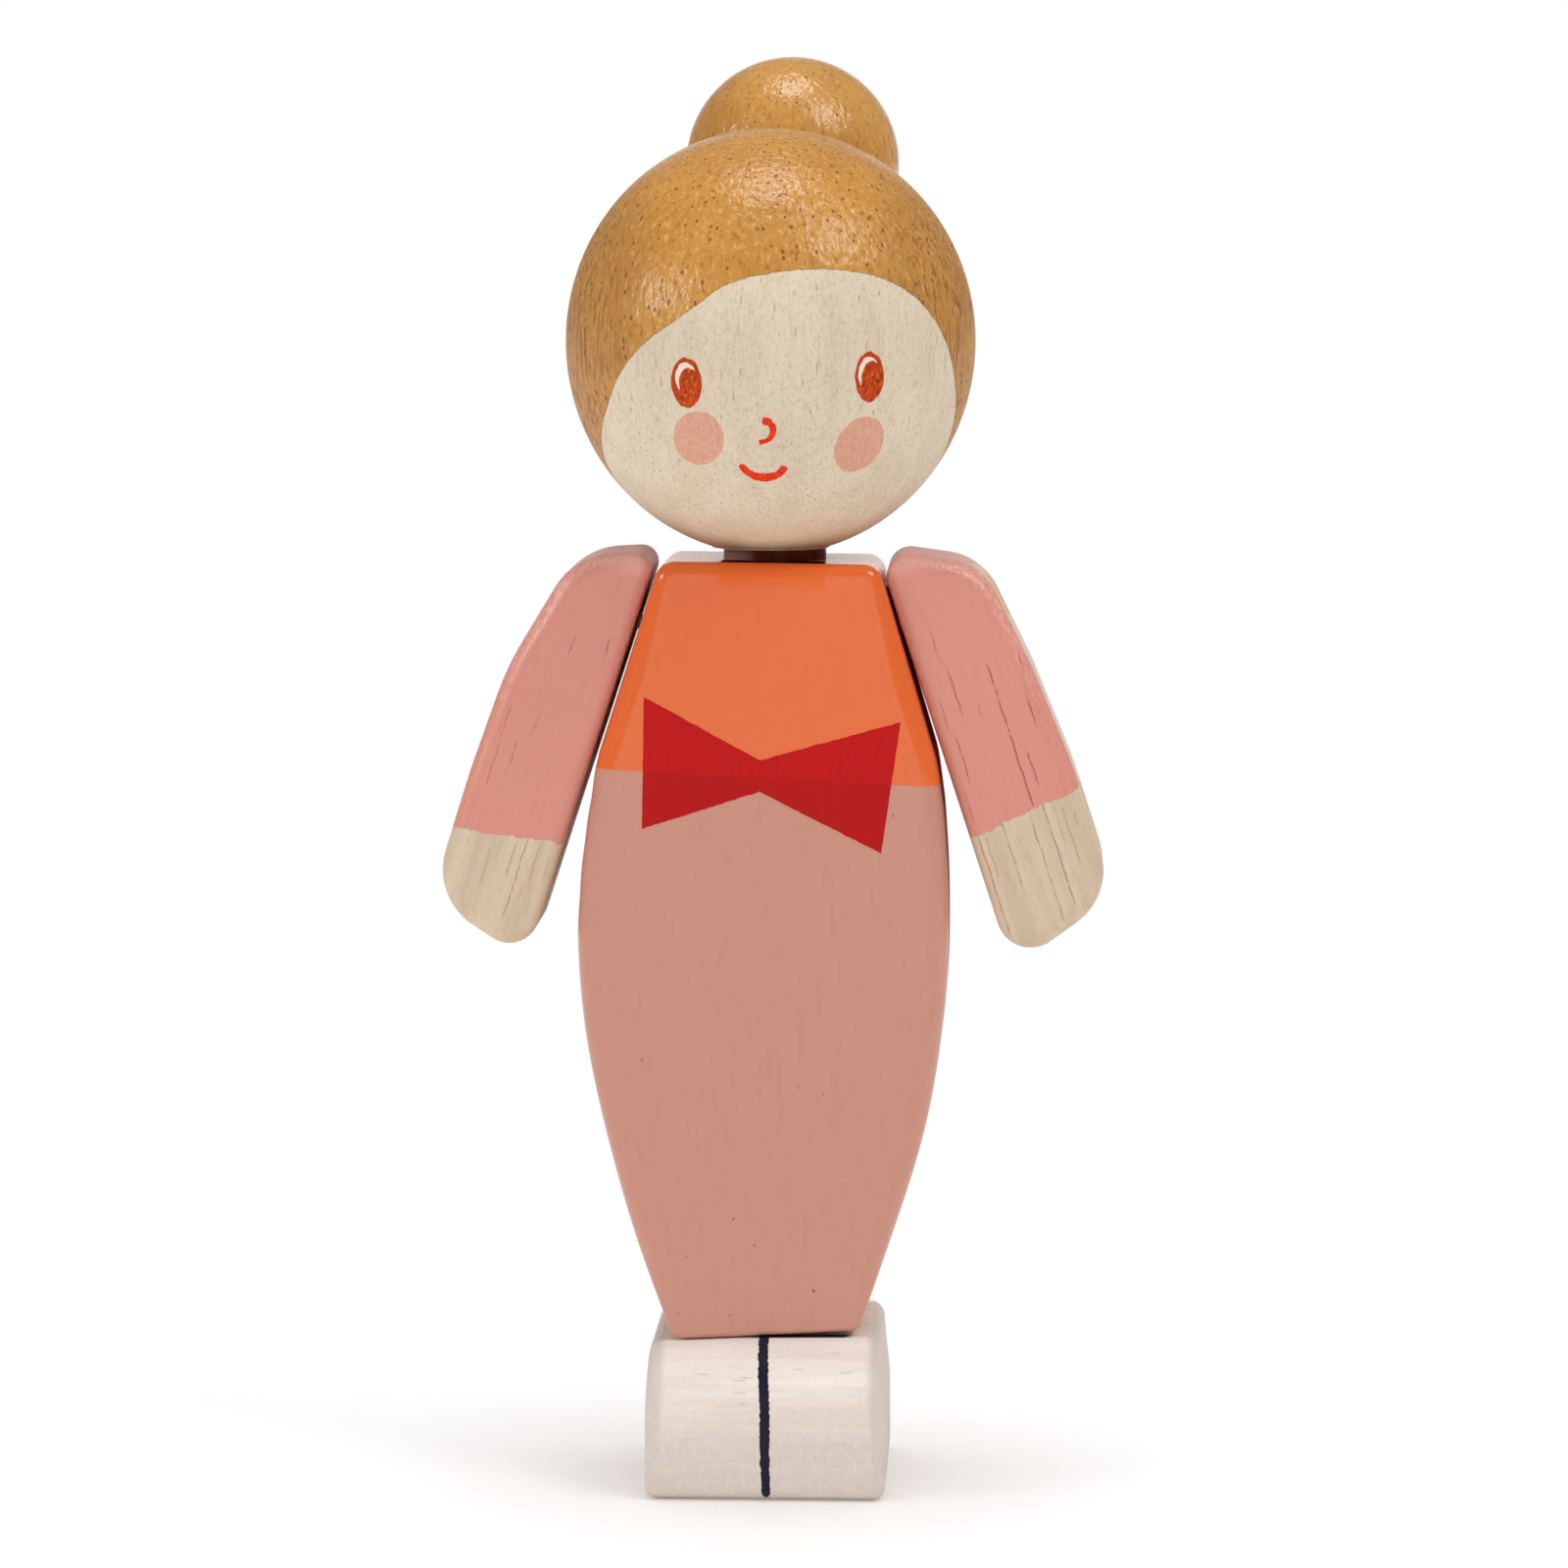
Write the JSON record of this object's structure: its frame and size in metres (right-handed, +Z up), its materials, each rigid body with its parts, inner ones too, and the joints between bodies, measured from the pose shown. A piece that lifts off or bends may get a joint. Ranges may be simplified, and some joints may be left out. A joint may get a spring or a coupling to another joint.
{
  "type": "wooden doll figure",
  "caption": "Small wooden doll with a ball head and bun that turn on a neck dowel, a plate body in a long skirt, swinging plank arms and a foot block.",
  "frame": {"origin": "middle of the foot block's flat underside, where the doll stands", "axes": "+Z up along the doll's height; the doll faces -Y; its own left hand is on the +X side"},
  "size_m": [0.0562, 0.0466, 0.12],
  "materials": {
    "foot_wood": "bare pale wood, sanded, with one painted line",
    "dowel_wood": "bare wood dowel",
    "dress_paint": "semi-gloss paint on wood, orange bodice over dusty pink skirt, bare edges",
    "neck_wood": "dark stained wood dowel",
    "elastic": "white covered elastic",
    "head_paint": "semi-gloss ochre paint over a bare wood face with painted features",
    "bun_paint": "semi-gloss ochre paint",
    "arm_paint": "semi-gloss pink paint down to the wrist, bare wood hand",
    "plug_wood": "bare wood plug, sanded flush"
  },
  "bodies": {
    "trunk": {"foot_block": "foot_wood", "foot_dowel": "dowel_wood", "body_block": "dress_paint", "neck_dowel": "neck_wood", "arm_elastic": "elastic"},
    "head_with_bun": {"head": "head_paint", "hair_bun": "bun_paint", "bun_dowel": "dowel_wood"},
    "left_arm_with_plug": {"left_arm": "arm_paint", "left_arm_plug": "plug_wood"},
    "right_arm_with_plug": {"right_arm": "arm_paint", "right_arm_plug": "plug_wood"}
  },
  "joints": [
    {"name": "head_turn", "type": "hinge", "parent": "trunk", "child": "head_with_bun", "pos_m": [0, 0.001, 0.096], "axis": [0, 0, 1], "continuous": true},
    {"name": "left_arm_swing", "type": "hinge", "parent": "trunk", "child": "left_arm_with_plug", "pos_m": [0.01083, 0.001, 0.07248], "axis": [-0.9537, 0, -0.3007], "range_deg": [-115, 115]},
    {"name": "right_arm_swing", "type": "hinge", "parent": "trunk", "child": "right_arm_with_plug", "pos_m": [-0.01083, 0.001, 0.07248], "axis": [-0.9537, 0, 0.3007], "range_deg": [-115, 115]}
  ]
}
